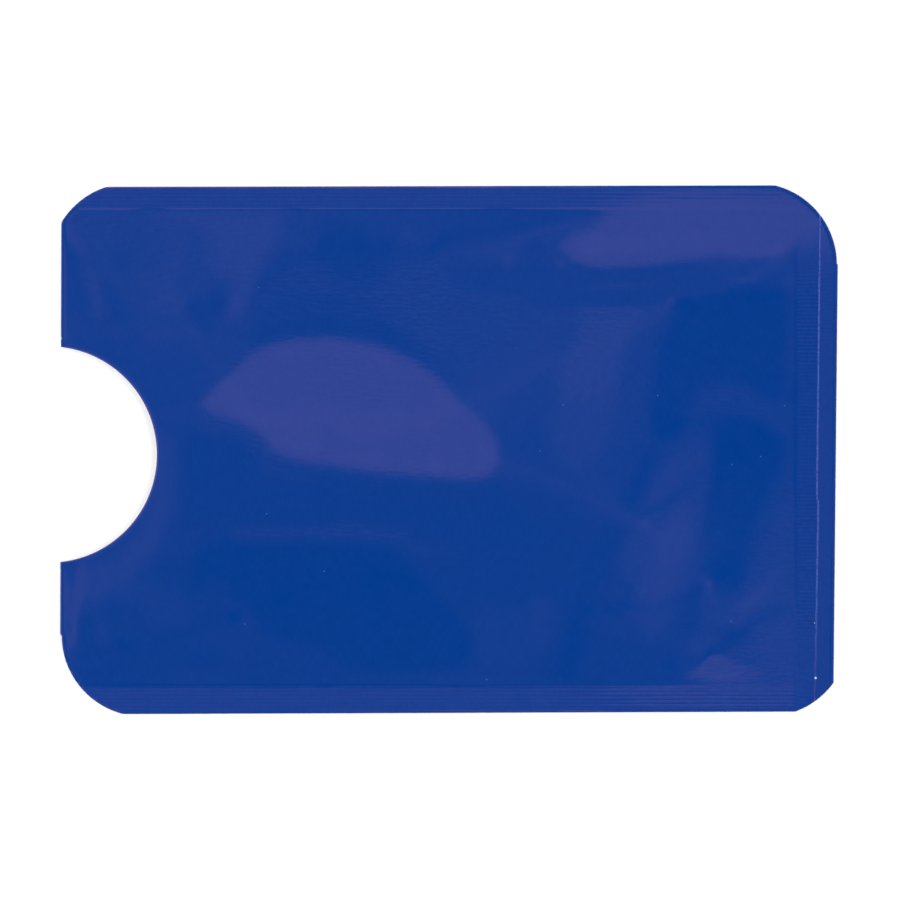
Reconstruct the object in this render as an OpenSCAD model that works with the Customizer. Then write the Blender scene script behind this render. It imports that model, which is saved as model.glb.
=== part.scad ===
// Shielded sleeve for one bank-size card. Two laminated panels lie face to face and are heat-sealed
// along both long edges and the closed end. The mouth is at -X and has a thumb notch through both
// panels. The sleeve lies on its back at z = 0, with the front panel on top. Sizes in millimetres.

/* [Card] */
// Length of the card that the pocket is made for
card_l = 85.6; // [70:0.1:120]
// Width of that card
card_w = 53.98; // [40:0.01:80]
// Thickness of that card
card_t = 0.76; // [0.3:0.01:1.5]

/* [Pocket] */
// Spare depth of the pocket beyond the card's length
depth_play = 0.5; // [0.2:0.1:3]
// Spare width of the flat pocket at each side of the card
side_play = 0.25; // [0.1:0.05:1.5]
// How far the empty pocket gapes at the middle of the mouth
gape_h = 1.1; // [0.5:0.1:2.5]
// Length over which the front panel rises from the end seal to its full height
rise_l = 16.5; // [8:0.5:40]
// How far the pocket lies off the middle of the width, towards the upper edge
pocket_shift = 0.3; // [0:0.05:1]

/* [Seals] */
// Width of the seal at the closed end
end_seal_w = 5; // [3:0.1:10]
// Width of the seal along each long edge, at mid pocket
side_seal_w = 2.95; // [2:0.05:8]
// Distance from one pressed rib to the next
rib_pitch = 0.45; // [0.4:0.05:1.2]
// Width of the groove between two ribs
groove_w = 0.3; // [0.15:0.05:0.35]
// Depth of the grooves
groove_d = 0.025; // [0.01:0.005:0.03]
// Distance from the closed end's edge to the crease in the end seal
crease_in = 2.3; // [1:0.1:2.8]
// Depth of that crease
crease_d = 0.035; // [0.01:0.005:0.035]

/* [Plies] */
// Thickness of the outer gloss film
film_t = 0.05; // [0.04:0.01:0.15]
// Thickness of the paper core
paper_t = 0.1; // [0.06:0.01:0.3]
// Thickness of the aluminium foil
foil_t = 0.02; // [0.01:0.005:0.06]
// Thickness of the inner film that melts at the seals
seal_film_t = 0.04; // [0.02:0.01:0.1]

/* [Thumb notch] */
// Diameter of the punched notch
notch_d = 25.3; // [15:0.1:32]
// How far the notch's centre lies outside the mouth's edge
notch_out = 1.3; // [0:0.1:5]
// How far the notch lies below the middle of the width
notch_drop = 0.55; // [0:0.05:3]

/* [Cut edges] */
// Radius of the corner knife
corner_r = 9.5; // [6:0.1:12]
// Distance from the end edges to the knife's centre
corner_in_x = 9; // [5.5:0.1:9.5]
// Distance from the long edges to the knife's centre
corner_in_y = 9.25; // [5.5:0.05:9.5]
// How far the knife is off along X: the upper corners towards the mouth, the lower ones away
corner_shift = 0.7; // [0:0.05:1]
// How far the mouth's edge leans in from its lower to its upper corner
mouth_lean = 0.17; // [0:0.01:1]
// How far the closed end's edge leans in from its upper to its lower corner
closed_lean = 0.62; // [0:0.01:1]
// How far the upper edge leans in from the closed end to the mouth
upper_lean = 0.2; // [0:0.01:1]
// How far the lower edge leans in from the mouth to the closed end
lower_lean = 0.33; // [0:0.01:1]

/* [Hidden] */
$fn = 180;

print_blue = [0.07, 0.22, 0.55];
paper_white = [0.93, 0.93, 0.9];
foil_silver = [0.77, 0.78, 0.8];
film_milky = [0.86, 0.88, 0.9];

// The pocket wraps round the card's edges, so it is wider than the card by both its thicknesses
pocket_w = card_w + 2 * card_t + 2 * side_play;
pocket_l = card_l + depth_play;
sleeve_l = pocket_l + end_seal_w;
sleeve_w = pocket_w + 2 * side_seal_w;

mouth_x = -sleeve_l / 2;
closed_x = sleeve_l / 2;
edge_y = sleeve_w / 2;
pocket_end_x = mouth_x + pocket_l;
pocket_top_y = pocket_shift + pocket_w / 2;
pocket_low_y = pocket_shift - pocket_w / 2;

// Plies from the outside in: film, paper, foil, inner film
core_t = film_t + paper_t + foil_t;
panel_t = core_t + seal_film_t;
sealed_t = 2 * panel_t;

// The front panel is an arch across the pocket, whose chord is the pocket and whose rise is gape_h
arch_r = pocket_w * pocket_w / (8 * gape_h) + gape_h / 2;
// Towards the end seal it is cut down by a second arch along the sleeve, a little higher than the
// first, so that the two meet along a hip and nowhere run tangent
end_crown = 1.25;
end_gape_h = gape_h * end_crown;
end_reach = rise_l / (1 - sqrt(1 - 1 / end_crown));
end_arch_r = (end_reach * end_reach + end_gape_h * end_gape_h) / (2 * end_gape_h);

// Spare length by which a cutting shape runs past what it cuts
past = 1;
// How far a pressing tooth starts above the surface, as a share of its depth
lip_share = 0.2;

// Outline of the trimmed sheets: a blank slightly out of square, four knife cuts and the notch
module outline() {
    difference() {
        polygon([
            [mouth_x + mouth_lean, edge_y - upper_lean],
            [mouth_x, -edge_y],
            [closed_x - closed_lean, -edge_y + lower_lean],
            [closed_x, edge_y]
        ]);
        for (side_x = [-1, 1], side_y = [-1, 1]) corner_cut(side_x, side_y);
        translate([mouth_x - notch_out, -notch_drop]) circle(d = notch_d);
    }
}

// What the quarter-round knife takes off one corner
module corner_cut(side_x, side_y) {
    knife = corner_r + past;
    translate([side_x * (sleeve_l / 2 - corner_in_x) - side_y * corner_shift,
               side_y * (edge_y - corner_in_y)])
        difference() {
            translate([side_x > 0 ? 0 : -knife, side_y > 0 ? 0 : -knife]) square(knife);
            circle(r = corner_r);
        }
}

// The outline as a flat ply from low to high
module flat_ply(low, high) {
    translate([0, 0, low]) linear_extrude(high - low) outline();
}

// Turns a profile drawn across the sleeve (Y, Z) into a bar along X
module along_x(from, to) {
    translate([from, 0, 0]) rotate([90, 0, 90]) linear_extrude(to - from) children();
}

// Turns a profile drawn along the sleeve (X, Z) into a bar along Y
module along_y(from, to) {
    translate([0, to, 0]) rotate([90, 0, 0]) linear_extrude(to - from) children();
}

// Everything under the front panel's surface that lies t above the pocket's upper side, down to base
module under_front(t, base) {
    length = sleeve_l + 2 * past;
    translate([-length / 2, -edge_y - past, base])
        cube([length, sleeve_w + 2 * past, panel_t + t - base]);
    intersection() {
        along_x(mouth_x - past, closed_x + past) arch_profile(t);
        along_y(-edge_y - past, edge_y + past) end_profile(t);
    }
}

// Half disc whose top is the arch across the pocket
module arch_profile(t) {
    intersection() {
        translate([pocket_shift, panel_t + gape_h - arch_r]) circle(r = arch_r + t);
        translate([-edge_y - past, 0]) square([sleeve_w + 2 * past, panel_t + gape_h + past]);
    }
}

// Block that ends in the falling side of the arch along the sleeve
module end_profile(t) {
    top = panel_t + end_gape_h;
    crown_x = pocket_end_x - end_reach;
    translate([mouth_x - past, 0]) square([crown_x - mouth_x + past, top + past]);
    intersection() {
        translate([crown_x, top - end_arch_r]) circle(r = end_arch_r + t);
        translate([crown_x - past, 0]) square([closed_x - crown_x + 2 * past, top + past]);
    }
}

// One ply of the front panel, between two distances from the pocket's upper side
module front_ply(inner, outer) {
    intersection() {
        difference() {
            under_front(outer, 0);
            under_front(inner, -past);
        }
        flat_ply(-past, sealed_t + gape_h + past);
    }
}

// The part of the sleeve over the pocket
module pocket_block() {
    translate([mouth_x - past, pocket_low_y, -past])
        cube([pocket_l + past, pocket_w, sealed_t + gape_h + 2 * past]);
}

// Rows of pressed grooves lie on one grid, that of the seal jaws
function groove_rows(low, high) =
    [for (i = [ceil((low + groove_w) / rib_pitch) : floor((high - groove_w) / rib_pitch)]) i * rib_pitch];

// Comb of V-shaped teeth that point down into the surface at z = 0
module groove_comb(rows) {
    lip = groove_d * lip_share;
    teeth = [for (y = rows) each [[y - groove_w / 2, lip], [y, -groove_d], [y + groove_w / 2, lip]]];
    polygon(concat(
        [[rows[0] - rib_pitch / 2, past]],
        [[rows[0] - rib_pitch / 2, lip]],
        teeth,
        [[rows[len(rows) - 1] + rib_pitch / 2, lip]],
        [[rows[len(rows) - 1] + rib_pitch / 2, past]]
    ));
}

// Crease across the end seal, parallel to the closed end's edge, in a surface at z = 0
module crease() {
    lip = crease_d * lip_share;
    translate([closed_x - closed_lean / 2 - crease_in, 0, 0])
        rotate([0, 0, -atan(closed_lean / sleeve_w)])
            along_y(-sleeve_w, sleeve_w)
                polygon([[-groove_w / 2, lip], [0, -crease_d], [groove_w / 2, lip]]);
}

// What the seal jaws press out of a surface at z = 0, from above
module jaw_marks() {
    along_x(mouth_x - past, closed_x + past) groove_comb(groove_rows(pocket_top_y, edge_y + rib_pitch));
    along_x(mouth_x - past, closed_x + past) groove_comb(groove_rows(-edge_y - rib_pitch, pocket_low_y));
    along_x(pocket_end_x + groove_w, closed_x + past) groove_comb(groove_rows(pocket_low_y, pocket_top_y));
}

module front_gloss_film() {
    color(print_blue)
        difference() {
            front_ply(panel_t - film_t, panel_t);
            translate([0, 0, sealed_t]) jaw_marks();
            translate([0, 0, sealed_t]) crease();
        }
}

module front_paper_core() {
    color(paper_white) front_ply(seal_film_t + foil_t, panel_t - film_t);
}

module front_foil_shield() {
    color(foil_silver) front_ply(seal_film_t, seal_film_t + foil_t);
}

module front_seal_film() {
    color(film_milky)
        intersection() {
            front_ply(0, seal_film_t);
            pocket_block();
        }
}

module back_gloss_film() {
    color(print_blue)
        difference() {
            flat_ply(0, film_t);
            mirror([0, 0, 1]) jaw_marks();
        }
}

module back_paper_core() {
    color(paper_white) flat_ply(film_t, film_t + paper_t);
}

module back_foil_shield() {
    color(foil_silver) flat_ply(film_t + paper_t, core_t);
}

module back_seal_film() {
    color(film_milky)
        intersection() {
            flat_ply(core_t, panel_t);
            pocket_block();
        }
}

// Both inner films melted together, between the two foils
module fused_band(from, size) {
    color(film_milky)
        intersection() {
            flat_ply(core_t, sealed_t - core_t);
            translate([from[0], from[1], 0]) cube([size[0], size[1], sealed_t]);
        }
}

module upper_side_seal() {
    fused_band([mouth_x - past, pocket_top_y], [sleeve_l + 2 * past, sleeve_w]);
}

module lower_side_seal() {
    fused_band([mouth_x - past, pocket_low_y - sleeve_w], [sleeve_l + 2 * past, sleeve_w]);
}

module end_seal() {
    fused_band([pocket_end_x, pocket_low_y], [end_seal_w + past, pocket_w]);
}

front_gloss_film();
front_paper_core();
front_foil_shield();
front_seal_film();
back_gloss_film();
back_paper_core();
back_foil_shield();
back_seal_film();
upper_side_seal();
lower_side_seal();
end_seal();
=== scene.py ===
"""Heat-sealed card sleeve of glossy blue laminate, lying empty on a pale table, seen from above."""

import bpy
import numpy as np
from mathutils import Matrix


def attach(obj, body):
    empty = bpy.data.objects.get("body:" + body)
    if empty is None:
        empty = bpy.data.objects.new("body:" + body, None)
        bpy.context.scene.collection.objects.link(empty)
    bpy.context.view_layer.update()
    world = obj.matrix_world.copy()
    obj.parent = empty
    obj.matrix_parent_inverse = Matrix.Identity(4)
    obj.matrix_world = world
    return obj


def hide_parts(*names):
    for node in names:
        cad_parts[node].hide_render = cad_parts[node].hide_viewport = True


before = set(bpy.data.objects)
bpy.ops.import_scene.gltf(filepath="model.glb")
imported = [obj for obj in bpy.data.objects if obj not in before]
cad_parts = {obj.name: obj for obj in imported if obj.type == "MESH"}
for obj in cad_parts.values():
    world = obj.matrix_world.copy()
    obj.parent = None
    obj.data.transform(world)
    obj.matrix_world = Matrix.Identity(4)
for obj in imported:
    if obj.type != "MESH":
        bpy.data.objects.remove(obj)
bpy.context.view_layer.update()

# Lengths are in millimetres until a mesh is made. Places read off the photograph are in its
# pixels, each PX wide, and MID_PX, MID_PY is the pixel at the sleeve's middle.
MM = 0.001
PX = 0.117
MID_PX, MID_PY = 449.3, 449.8


def from_px(px, py):
    """A place in the photograph as X and Y."""
    return (np.asarray(px, float) - MID_PX) * PX, (MID_PY - np.asarray(py, float)) * PX


# Sizes of the CAD model
POCKET_W = 56.0
POCKET_L = 86.1
POCKET_MID_Y = 0.3
SLEEVE_L = 91.1
SLEEVE_W = 61.9
MOUTH_X = -SLEEVE_L / 2
CLOSED_X = SLEEVE_L / 2
EDGE_Y = SLEEVE_W / 2
POCKET_END_X = MOUTH_X + POCKET_L
POCKET_TOP_Y = POCKET_MID_Y + POCKET_W / 2
POCKET_LOW_Y = POCKET_MID_Y - POCKET_W / 2
FILM_T, PAPER_T, FOIL_T, SEAL_FILM_T = 0.05, 0.1, 0.02, 0.04
PANEL_T = FILM_T + PAPER_T + FOIL_T + SEAL_FILM_T
PAPER_TOP = 2 * PANEL_T - FILM_T
RIB_PITCH = 0.45
NOTCH_R = 25.3 / 2
NOTCH_X, NOTCH_Y = MOUTH_X - 1.3, -0.55
# Corner arcs: their radius, how far inside the ends and the long edges their middles lie, and how
# far the upper ones are shifted towards the mouth and the lower ones away from it
CORNER_R = 9.5
CORNER_IN_X, CORNER_IN_Y = 9.0, 9.25
CORNER_SHIFT = 0.7
# How far each edge leans over its length
MOUTH_LEAN, CLOSED_LEAN, UPPER_LEAN, LOWER_LEAN = 0.17, 0.62, 0.2, 0.33

# Studio: what the gloss film mirrors. u and v are how far a direction leans to +X and +Y from
# straight up. Each panel: middle u and v, half sizes, turn in degrees, softness, light.
CAMERA_H = 1600.0
SKY_BASE = 0.16
PANELS = (
    (-0.010, -0.095, 0.060, 0.080, 0, 1.2, 0.085),
    (0.085, -0.140, 0.050, 0.060, 0, 1.2, 0.26),
    (-0.018, -0.105, 0.026, 0.044, 12, 1.0, 0.0),
    (-0.070, -0.130, 0.025, 0.060, 0, 1.2, 0.19),
    (-0.130, 0.000, 0.040, 0.110, 0, 1.0, 0.50),
    (-0.040, -0.012, 0.012, 0.026, 10, 1.2, 0.03),
    (-0.040, 0.155, 0.024, 0.055, -14, 1.0, 0.64),
    (-0.080, 0.100, 0.020, 0.040, 0, 1.2, 0.10),
    (-0.004, 0.130, 0.014, 0.046, 0, 1.2, 0.03),
    (0.053, 0.090, 0.012, 0.055, 0, 1.4, 0.40),
    (0.074, -0.040, 0.013, 0.032, 12, 1.0, 0.56),
    (0.046, -0.073, 0.011, 0.028, 12, 1.3, 0.01),
    (0.112, 0.060, 0.040, 0.110, 0, 1.0, 0.0),
    (0.190, 0.000, 0.035, 0.170, 0, 1.2, 0.32),
)
SOFTBOX = (-0.002, 0.028, 0.052, 0.034, -67, 0.75, 0.90)
# Powers of the panels' rounded outlines: an ellipse, and one with fuller corners
PANEL_POWER, SOFTBOX_POWER = 2, 3
# No edge of a panel gets softer than this
SOFTEST = 1.8
# Past the panels the light rises to that of the dome
DOME_FROM, DOME_TO, DOME_LIGHT = 0.30, 0.52, 1.9
# The dome dims towards the horizon
HORIZON_FROM, HORIZON_TO, HORIZON_LIGHT = 1.2, 2.2, 0.75


def smooth(t):
    """Rises softly from 0 to 1 as t does."""
    t = np.clip(t, 0, 1)
    return t * t * (3 - 2 * t)


def panel_mask(u, v, panel, spread, power=PANEL_POWER):
    """How much of a panel's light shows in a direction. spread makes its edge softer."""
    mid_u, mid_v, half_u, half_v, turn, soft, _ = panel
    soft = min(soft * spread, SOFTEST)
    co, si = np.cos(np.radians(turn)), np.sin(np.radians(turn))
    du, dv = u - mid_u, v - mid_v
    a = np.abs(du * co + dv * si) / half_u
    b = np.abs(dv * co - du * si) / half_v
    r = (a**power + b**power) ** (1 / power)
    return smooth((1 + soft / 2 - r) / soft)


def sky(u, v, spread):
    """The studio's light in a direction."""
    light = np.full(np.shape(u), SKY_BASE)
    for panel in PANELS:
        light += panel_mask(u, v, panel, spread) * (panel[-1] - light)
    light += panel_mask(u, v, SOFTBOX, spread, SOFTBOX_POWER) * (SOFTBOX[-1] - light)
    dome = smooth((np.hypot(u, v) - DOME_FROM) / (DOME_TO - DOME_FROM))
    return light + dome * (DOME_LIGHT - light)


# The loose front panel: the pocket's left, right, upper and lower edge in pixels, the grid on which
# the sheet is worked out, and how many standing waves make it up
POCKET_PX = (61.0, 797.0, 208.0, 686.0)
GRID_PX = 3.0
WAVES_X, WAVES_Y = 56, 40
# Its dents and folds are too shallow to see as shapes and show only in what they mirror, so the
# sheet is relaxed until it mirrors the studio in these drawn patches. Each patch: light, softness
# in pixels, corners in the photograph's pixels.
PATCHES = {
    "upper": (0.135, 8, ((61, 208), (797, 208), (797, 470), (61, 470))),
    "lower": (0.10, 8, ((61, 470), (797, 470), (797, 686), (61, 686))),
    "shoulder": (0.24, 5, ((61, 208), (288, 208), (282, 240), (270, 268), (250, 292), (236, 318),
                           (205, 336), (150, 344), (100, 336), (61, 330))),
    "shoulder_light": (0.47, 4, ((150, 211), (281, 211), (276, 242), (260, 264), (250, 290),
                                 (241, 316), (231, 318), (228, 300), (229, 278), (208, 268),
                                 (209, 238), (190, 224), (150, 222))),
    "shoulder_fold": (0.33, 5, ((166, 226), (188, 236), (184, 262), (178, 290), (184, 318),
                                (176, 336), (150, 334), (151, 306), (160, 288), (162, 258))),
    "mouth_dip": (0.12, 4, ((106, 246), (134, 246), (135, 300), (124, 326), (112, 318),
                            (105, 288))),
    "mouth_edge": (0.09, 3, ((71, 248), (86, 252), (90, 300), (80, 322), (70, 306))),
    "mouth_line": (0.36, 2, ((72, 222), (80, 240), (92, 272), (101, 304), (103, 320), (96, 318),
                             (90, 296), (82, 262), (72, 240))),
    "dent": (0.04, 3, ((186, 300), (200, 292), (217, 293), (224, 281), (230, 286), (228, 302),
                       (225, 318), (208, 329), (192, 327), (185, 314))),
    "hollow": (0.045, 4, ((318, 212), (350, 214), (396, 224), (399, 244), (386, 262), (388, 276),
                          (372, 288), (348, 285), (326, 276), (312, 258))),
    "brow": (0.06, 4, ((250, 342), (252, 314), (268, 295), (296, 290), (350, 294), (370, 304),
                       (396, 328), (424, 346), (442, 372), (430, 370), (400, 350), (350, 338),
                       (300, 337), (270, 348))),
    "slope": (0.18, 6, ((372, 302), (390, 266), (430, 262), (480, 280), (530, 290), (575, 296),
                        (560, 350), (546, 405), (520, 440), (505, 430), (490, 400), (470, 382),
                        (440, 350), (420, 335), (395, 318))),
    "band": (0.39, 5, ((590, 268), (648, 270), (650, 288), (640, 318), (624, 346), (618, 380),
                       (611, 406), (590, 410), (562, 408), (558, 390), (561, 366), (576, 342),
                       (580, 310))),
    "band_foot": (0.25, 5, ((552, 404), (614, 404), (612, 432), (598, 458), (578, 470), (556, 465),
                            (546, 450))),
    "fall": (0.012, 4, ((684, 268), (702, 264), (742, 262), (772, 266), (786, 278), (789, 330),
                        (785, 380), (775, 398), (755, 394), (732, 387), (711, 388), (698, 398),
                        (690, 412), (680, 432), (660, 442), (650, 422), (648, 398), (655, 368),
                        (661, 338), (672, 314), (680, 290))),
    "bridge": (0.15, 3, ((702, 398), (732, 387), (757, 394), (778, 404), (788, 424), (770, 426),
                         (740, 416), (714, 428), (701, 420))),
    "low_fall": (0.010, 4, ((712, 427), (736, 416), (762, 422), (784, 436), (786, 458), (779, 478),
                            (764, 496), (755, 524), (752, 556), (738, 586), (720, 586), (706, 560),
                            (702, 528), (706, 488), (709, 450))),
    "diagonal": (0.02, 4, ((650, 452), (662, 458), (648, 490), (636, 515), (623, 532), (615, 560),
                            (600, 592), (590, 622), (584, 652), (576, 682), (556, 682), (561, 648),
                            (570, 612), (579, 580), (590, 552), (606, 524), (620, 496),
                            (636, 470))),
    "streak": (0.25, 4, ((672, 446), (700, 440), (712, 450), (708, 482), (700, 520), (698, 560),
                         (685, 592), (670, 622), (655, 642), (636, 622), (626, 582), (623, 550),
                         (636, 520), (649, 492), (660, 462))),
    "streak_light": (0.50, 4, ((684, 500), (697, 520), (690, 552), (677, 582), (660, 606),
                               (642, 596), (646, 570), (655, 540), (668, 515))),
    "corner": (0.30, 7, ((704, 592), (722, 602), (742, 600), (754, 574), (766, 540), (782, 502),
                         (797, 478), (797, 686), (700, 686), (690, 660), (698, 626))),
    "corner_gap": (0.06, 4, ((688, 578), (703, 582), (702, 612), (692, 642), (679, 650),
                             (675, 634), (684, 604))),
    "left_pool": (0.045, 4, ((192, 428), (236, 431), (256, 450), (263, 472), (250, 492),
                             (224, 502), (200, 490), (187, 470), (187, 444))),
    "under_leaf": (0.075, 5, ((262, 470), (300, 474), (350, 484), (420, 494), (480, 498),
                              (530, 492), (570, 498), (572, 530), (545, 556), (520, 580),
                              (490, 552), (440, 540), (380, 526), (250, 522), (180, 520),
                              (190, 500), (235, 500))),
    "pale_line": (0.17, 2, ((176, 537), (190, 529), (250, 530), (300, 529), (352, 527), (402, 534),
                            (402, 540), (350, 536), (300, 539), (250, 540), (200, 541), (190, 549),
                            (180, 547))),
    "basin": (0.012, 4, ((196, 552), (214, 543), (260, 542), (300, 542), (350, 544), (386, 547),
                         (406, 560), (420, 575), (432, 592), (447, 606), (463, 620), (471, 645),
                         (463, 668), (440, 673), (380, 676), (350, 672), (330, 656), (315, 646),
                         (280, 641), (262, 630), (250, 610), (236, 595), (222, 586), (212, 574),
                         (203, 588), (196, 598), (189, 588), (189, 568))),
    "low_left": (0.17, 5, ((138, 584), (170, 588), (190, 600), (198, 612), (185, 622), (150, 620),
                           (134, 606))),
    "blot": (0.02, 2, ((118, 632), (129, 638), (132, 652), (122, 652), (114, 642))),
    "toe": (0.05, 3, ((184, 657), (200, 645), (216, 650), (226, 664), (204, 668), (186, 666))),
    "foot": (0.16, 5, ((470, 600), (520, 610), (540, 686), (470, 686), (478, 640))),
    "foot_fold": (0.19, 5, ((530, 600), (550, 588), (556, 620), (548, 652), (530, 652),
                            (522, 626))),
    "leaf": (0.86, 3, ((199, 405), (212, 391), (232, 372), (252, 353), (272, 344), (300, 339),
                       (330, 338), (356, 341), (382, 347), (408, 358), (430, 372), (452, 392),
                       (470, 410), (486, 424), (497, 442), (499, 462), (492, 475), (470, 479),
                       (440, 477), (400, 474), (370, 471), (340, 467), (312, 463), (292, 459),
                       (272, 450), (262, 437), (250, 427), (232, 420), (212, 413))),
    "end_light": (0.88, 3, ((557, 244), (574, 234), (597, 226), (606, 214), (618, 200), (830, 200),
                            (830, 240), (796, 246), (780, 257), (744, 257), (724, 255), (700, 257),
                            (668, 262), (640, 266), (600, 267), (580, 264), (568, 254))),
    "notch_glow": (0.32, 5, ((158, 432), (172, 440), (174, 470), (171, 510), (161, 540), (147, 562),
                             (128, 582), (108, 596), (84, 606), (62, 612), (62, 562), (110, 560),
                             (140, 530), (154, 490))),
    "mouth_low": (0.45, 3, ((61, 565), (76, 565), (78, 600), (74, 640), (61, 645))),
    "low_light": (0.72, 2, ((688, 673), (702, 664), (722, 660), (742, 668), (768, 676), (748, 682),
                            (708, 682), (692, 680))),
}


def inside(px, py, corners):
    """Which places lie within a ring of corners."""
    odd = np.zeros(px.shape, bool)
    for (xa, ya), (xb, yb) in zip(corners, corners[1:] + corners[:1]):
        if ya != yb:
            odd ^= ((ya > py) != (yb > py)) & (px < (xb - xa) * (py - ya) / (yb - ya) + xa)
    return odd


def blur(field, sigma):
    """A field softened by a bell curve that is sigma cells wide."""
    reach = int(3 * sigma + 1)
    kernel = np.exp(-0.5 * (np.arange(-reach, reach + 1) / sigma) ** 2)
    kernel /= kernel.sum()
    for axis in (0, 1):
        pad = [(reach, reach) if i == axis else (0, 0) for i in (0, 1)]
        field = np.apply_along_axis(np.convolve, axis, np.pad(field, pad, "edge"), kernel, "valid")
    return field


# Added to the light, so that the darkest patches don't count for too much
DARKEST = 0.03


def tone(light):
    """Light as the eye weighs it, so that dark patches count too."""
    return np.sqrt(np.maximum(light, 0) + DARKEST)


def drawn_light(px, py):
    """The light that the patches ask for, on the sheet's grid."""
    step = 2
    fine_x = np.arange(px[0], px[-1] + 1, GRID_PX / step)
    fine_y = np.arange(py[0], py[-1] + 1, GRID_PX / step)
    gx, gy = np.meshgrid(fine_x, fine_y)
    light = np.full(gx.shape, SKY_BASE)
    for level, soft, corners in PATCHES.values():
        mask = blur(inside(gx, gy, corners).astype(float), soft * step / GRID_PX)
        light += mask * (level - light)
    return light[::step, ::step]


LEN_X = (POCKET_PX[1] - POCKET_PX[0]) * PX
LEN_Y = (POCKET_PX[3] - POCKET_PX[2]) * PX
WAVE_X = (np.arange(WAVES_X) + 0.5) * np.pi / LEN_X
WAVE_Y = (np.arange(WAVES_Y) + 1) * np.pi / LEN_Y


def waves(px, py):
    """The sheet's standing waves along both ways: free at the mouth, held at the seals."""
    ax = np.outer(WAVE_X, (px - POCKET_PX[0]) * PX)
    ay = np.outer(WAVE_Y, (py - POCKET_PX[2]) * PX)
    return np.cos(ax), -WAVE_X[:, None] * np.sin(ax), np.sin(ay), -WAVE_Y[:, None] * np.cos(ay)


# The plain pillow that the sheet starts from: its rise, where along X it is highest, and the share
# of the rise that is left at the mouth
PILLOW_RISE = 1.1
PILLOW_CROWN = 34.0
PILLOW_MOUTH = 0.6
# The studio's light as a table over u and v from -TABLE_HALF to TABLE_HALF, read to just short of
# its end
TABLE_HALF, TABLE_N = 0.5, 1001
TABLE_END = 0.001
# How much the sheet resists bending and leaving the pillow, and how hard it is kept within bounds
STIFF, PULL = 8900.0, 180.0
LOWEST, HIGHEST, PUSH = 0.02, 1.1, 50.0
# Bright patches weigh more, and misses that change fast from place to place cost extra
BRIGHT_FROM, BRIGHT_WEIGHT = 0.6, 3.0
CALM = 5.3
# Places nearer than this to the outline don't count
RIM_LEFT_OUT = 0.5
# How much softer than real the studio's panels are at first, and how many steps that lasts
STAGES = ((1.8, 80), (1.3, 80), (1.0, 150))
# Descent: its memory, its first move, the share of the promised gain that a move has to bring,
# the shortest move, and the least curvature that is remembered
MEMORY = 10
FIRST_MOVE = 0.02
GAIN_SHARE = 1e-4
SHORTEST = 1e-4
LEAST_CURVE = 1e-12


def pillow(px, py):
    """Plain puffed pocket: highest a third of the way in, flat at the seals."""
    x = (px - POCKET_PX[0]) * PX
    y = (py - POCKET_PX[2]) * PX
    before = 1 - (1 - PILLOW_MOUTH) * ((PILLOW_CROWN - x) / PILLOW_CROWN) ** 2
    after = 1 - np.clip((x - PILLOW_CROWN) / (LEN_X - PILLOW_CROWN), 0, 1) ** 2
    across = 1 - (2 * y / LEN_Y - 1) ** 2
    return PILLOW_RISE * np.outer(across, np.where(x < PILLOW_CROWN, before, after))


def look_up(tables, u, v):
    """Tables over u and v, read between their entries."""
    last = TABLE_N - 1 - TABLE_END
    x = np.clip((u + TABLE_HALF) / (2 * TABLE_HALF) * (TABLE_N - 1), 0, last)
    y = np.clip((v + TABLE_HALF) / (2 * TABLE_HALF) * (TABLE_N - 1), 0, last)
    i, j = x.astype(int), y.astype(int)
    fx, fy = x - i, y - j
    return [
        (t[j, i] * (1 - fx) + t[j, i + 1] * fx) * (1 - fy)
        + (t[j + 1, i] * (1 - fx) + t[j + 1, i + 1] * fx) * fy
        for t in tables
    ]


def unevenness(field):
    """For every point, how much it differs from its neighbours in all."""
    out = np.zeros_like(field)
    for axis in (0, 1):
        step = np.diff(field, axis=axis)
        ahead = [(0, 0), (0, 0)]
        behind = [(0, 0), (0, 0)]
        ahead[axis] = (0, 1)
        behind[axis] = (1, 0)
        out += np.pad(step, behind) - np.pad(step, ahead)
    return out


def descend(cost, z, steps):
    """Quasi-Newton descent with a short memory."""
    f, g = cost(z)
    moves, turns = [], []
    for _ in range(steps):
        q = g.copy()
        shares = []
        for s, y in zip(reversed(moves), reversed(turns)):
            share = (s * q).sum() / (s * y).sum()
            shares.append(share)
            q -= share * y
        if moves:
            q *= (moves[-1] * turns[-1]).sum() / (turns[-1] ** 2).sum()
        else:
            q *= FIRST_MOVE / np.abs(q).max()
        for s, y, share in zip(moves, turns, reversed(shares)):
            q += s * (share - (y * q).sum() / (s * y).sum())
        reach = 1.0
        while reach > SHORTEST:
            z_new = z - reach * q
            f_new, g_new = cost(z_new)
            if f_new < f - GAIN_SHARE * reach * (g * q).sum():
                break
            reach /= 2
        else:
            break
        if ((z_new - z) * (g_new - g)).sum() > LEAST_CURVE:
            moves = (moves + [z_new - z])[-MEMORY:]
            turns = (turns + [g_new - g])[-MEMORY:]
        z, f, g = z_new, f_new, g_new
    return z


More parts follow.
